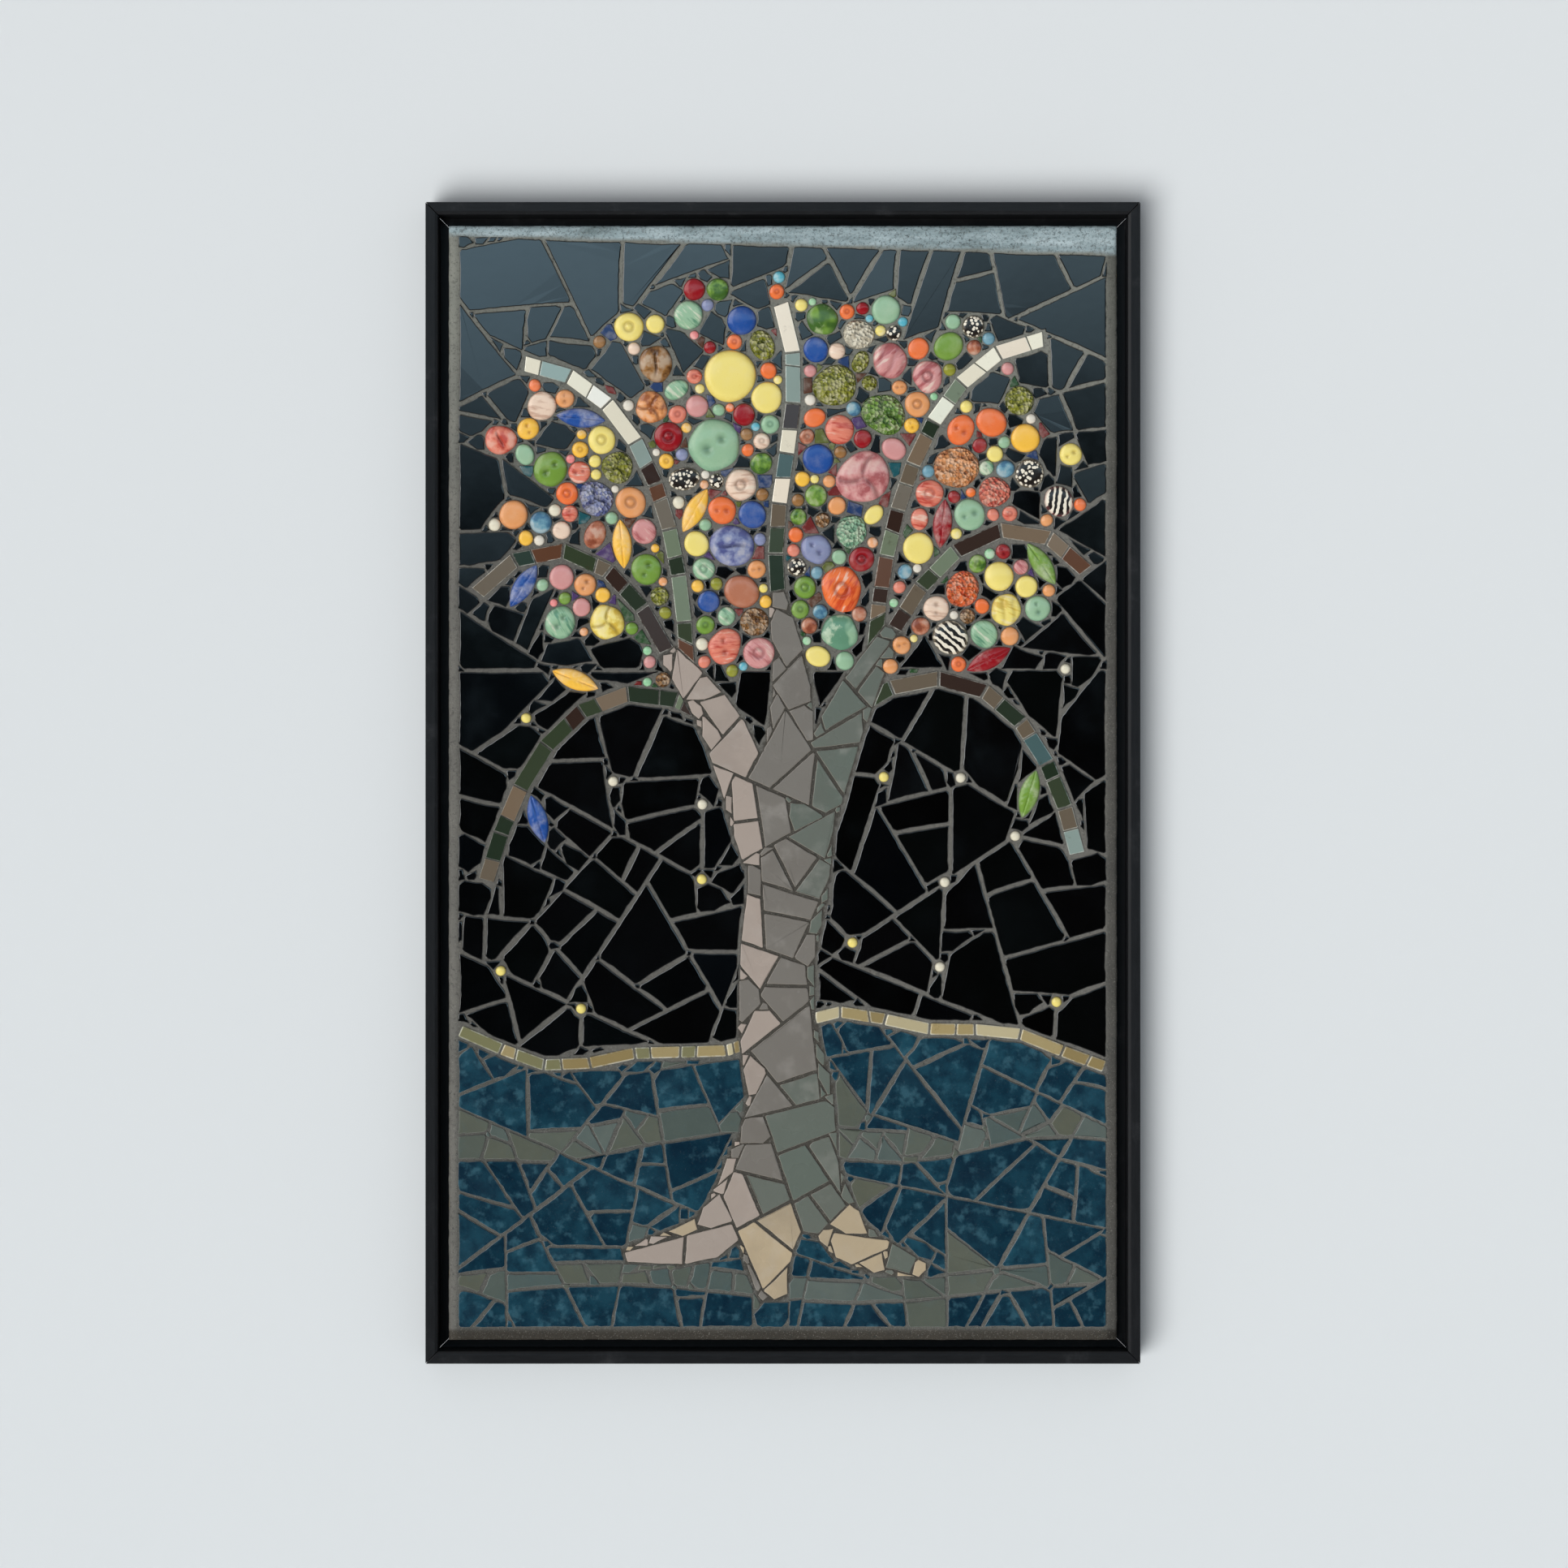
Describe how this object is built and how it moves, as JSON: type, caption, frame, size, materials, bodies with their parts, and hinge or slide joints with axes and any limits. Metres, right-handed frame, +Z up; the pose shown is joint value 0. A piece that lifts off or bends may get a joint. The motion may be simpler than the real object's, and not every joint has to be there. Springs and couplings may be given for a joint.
{
  "type": "framed mosaic panel",
  "caption": "Upright framed mosaic wall panel: broken glazed tile tree with mirror branches and glazed fruit, on black and blue tile, in a black tray frame with a cleat behind.",
  "frame": {"origin": "middle of the back face of the hanging cleat, which lies on the wall, 400 mm above the middle of the panel", "axes": "+Z up, -Y out of the wall towards the viewer, +Y into the wall, +X to the viewer's right"},
  "size_m": [0.64, 0.04, 1.04],
  "materials": {
    "black_satin_paint": "satin black paint on wooden rails",
    "birch_plywood": "sanded plywood with black painted edges",
    "pine": "planed softwood",
    "black_glazed_tile": "glossy black glaze in grey mortar",
    "blue_glazed_tile": "mottled dark blue gloss glaze",
    "taupe_glazed_tile": "semi-gloss grey and pinkish taupe glaze",
    "mirror_glass": "cut mirror strips",
    "gold_glass": "olive gold backed glass",
    "rose_glaze": "gloss, streaked",
    "mint_glaze": "gloss, pooled",
    "lemon_glaze": "gloss",
    "yellow_glaze": "gloss",
    "leaf_green_glaze": "gloss",
    "apricot_glaze": "gloss, pooled",
    "lavender_glaze": "gloss, clouded",
    "orange_glaze": "gloss",
    "lime_glaze": "gloss crackle",
    "cream_glaze": "gloss, speckled",
    "coral_glaze": "gloss",
    "cobalt_glaze": "gloss",
    "crimson_glaze": "gloss"
  },
  "bodies": {
    "root": {"backing_board": "birch_plywood", "black_field_tiles": "black_glazed_tile", "blue_ground_tiles": "blue_glazed_tile", "branch_left_high": "mirror_glass", "branch_left_low": "mirror_glass", "branch_left_middle": "mirror_glass", "branch_right_high": "mirror_glass", "branch_right_low": "mirror_glass", "branch_right_middle": "mirror_glass", "branch_top": "mirror_glass", "frame_bottom": "black_satin_paint", "frame_left": "black_satin_paint", "frame_right": "black_satin_paint", "frame_top": "black_satin_paint", "fruit_01": "rose_glaze", "fruit_02": "mint_glaze", "fruit_03": "lemon_glaze", "fruit_04": "leaf_green_glaze", "fruit_05": "apricot_glaze", "fruit_06": "lavender_glaze", "fruit_07": "orange_glaze", "fruit_08": "lime_glaze", "fruit_09": "cream_glaze", "fruit_10": "coral_glaze", "fruit_11": "rose_glaze", "fruit_12": "mint_glaze", "fruit_13": "lemon_glaze", "fruit_14": "leaf_green_glaze", "fruit_15": "apricot_glaze", "fruit_16": "lavender_glaze", "fruit_17": "orange_glaze", "fruit_18": "lime_glaze", "fruit_19": "cream_glaze", "fruit_20": "coral_glaze", "fruit_21": "rose_glaze", "fruit_22": "mint_glaze", "fruit_23": "lemon_glaze", "fruit_24": "leaf_green_glaze", "fruit_25": "apricot_glaze", "fruit_26": "lavender_glaze", "fruit_27": "orange_glaze", "fruit_28": "lime_glaze", "fruit_29": "cream_glaze", "fruit_30": "coral_glaze", "fruit_31": "rose_glaze", "fruit_32": "mint_glaze", "gold_edging_left": "gold_glass", "gold_edging_right": "gold_glass", "hanging_cleat": "pine", "leaf_01": "yellow_glaze", "leaf_02": "cobalt_glaze", "leaf_03": "crimson_glaze", "leaf_04": "leaf_green_glaze", "leaf_05": "yellow_glaze", "leaf_06": "cobalt_glaze", "leaf_07": "crimson_glaze", "leaf_08": "leaf_green_glaze", "leaf_09": "yellow_glaze", "leaf_10": "cobalt_glaze", "tree_tiles": "taupe_glazed_tile"}
  },
  "joints": []
}
